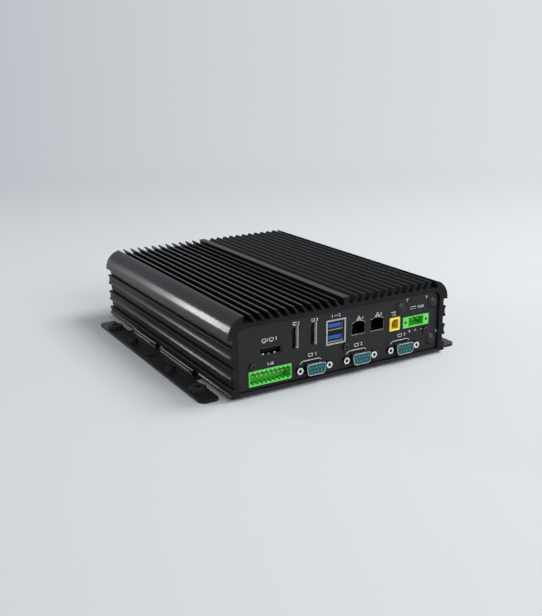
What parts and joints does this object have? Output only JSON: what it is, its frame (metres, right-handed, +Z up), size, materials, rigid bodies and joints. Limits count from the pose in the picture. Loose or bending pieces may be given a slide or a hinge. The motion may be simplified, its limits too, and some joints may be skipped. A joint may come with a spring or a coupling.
{
  "type": "fanless industrial computer",
  "caption": "Fanless industrial computer: finned black extruded housing on wall brackets, with serial, network, display and terminal sockets in a sunk end panel.",
  "frame": {"origin": "on the ground, under the middle of the part", "axes": "+X to the right seen from the socket panel, +Y from the panel to the rear, along the fins, +Z up"},
  "size_m": [0.228, 0.2384, 0.06],
  "materials": {
    "black_extrusion": "satin black anodised",
    "black_sheet": "fine matt black coat",
    "bracket_black": "satin black coat",
    "black_steel": "black oxide",
    "black_rubber": "matt",
    "black_plastic": "matt",
    "plug_black": "satin",
    "bright_steel": "nickel plated",
    "shell_steel": "tinned",
    "display_steel": "dark nickel",
    "teal_plastic": "moulded",
    "green_plastic": "moulded",
    "yellow_plastic": "moulded",
    "blue_plastic": "moulded",
    "contact_gold": "gold flash",
    "contact_tin": "tinned",
    "lens": "clear",
    "brass_insert": "turned",
    "circuit_board": "solder mask",
    "chip_black": "moulded",
    "pad_grey": "soft",
    "plain_aluminium": "milled",
    "drive_case": "anodised"
  },
  "bodies": {
    "root": {"antenna_hole_plugs": "plug_black", "board_link": "chip_black", "bottom_cover": "black_sheet", "bottom_cover_screws": "black_steel", "bracket_cap_screws": "black_steel", "bracket_grommets": "black_rubber", "bracket_screws": "black_steel", "coin_cell": "bright_steel", "coin_cell_holder": "black_plastic", "display_socket_1_insert": "black_plastic", "display_socket_1_shell": "display_steel", "display_socket_2_insert": "black_plastic", "display_socket_2_shell": "display_steel", "display_socket_3_insert": "black_plastic", "display_socket_3_shell": "display_steel", "extruded_housing": "black_extrusion", "front_board_posts": "bright_steel", "front_panel": "black_sheet", "front_panel_screws": "black_steel", "header_pins": "contact_tin", "heat_spreader_block": "plain_aluminium", "indicator_lenses": "lens", "io_header": "green_plastic", "lan_jack_1_insert": "black_plastic", "lan_jack_1_shell": "shell_steel", "lan_jack_2_insert": "black_plastic", "lan_jack_2_shell": "shell_steel", "lan_jack_contacts": "contact_gold", "left_mounting_bracket": "bracket_black", "mainboard": "circuit_board", "mainboard_screws": "bright_steel", "memory_module": "circuit_board", "memory_socket": "chip_black", "power_header": "green_plastic", "power_header_inserts": "brass_insert", "processor": "chip_black", "radio_card": "circuit_board", "radio_card_socket": "chip_black", "rear_board_standoffs": "bright_steel", "rear_panel": "black_sheet", "rear_panel_posts": "bright_steel", "rear_panel_screws": "black_steel", "right_mounting_bracket": "bracket_black", "serial_board": "circuit_board", "serial_jack_nuts": "bright_steel", "serial_pins": "contact_gold", "serial_socket_1_insulator": "teal_plastic", "serial_socket_1_shell": "shell_steel", "serial_socket_2_insulator": "teal_plastic", "serial_socket_2_shell": "shell_steel", "serial_socket_3_insulator": "teal_plastic", "serial_socket_3_shell": "shell_steel", "storage_drive": "drive_case", "storage_drive_screws": "bright_steel", "thermal_pad": "pad_grey", "usb_stack_shell": "shell_steel", "usb_stack_tongues": "blue_plastic", "yellow_socket": "yellow_plastic"}
  },
  "joints": []
}
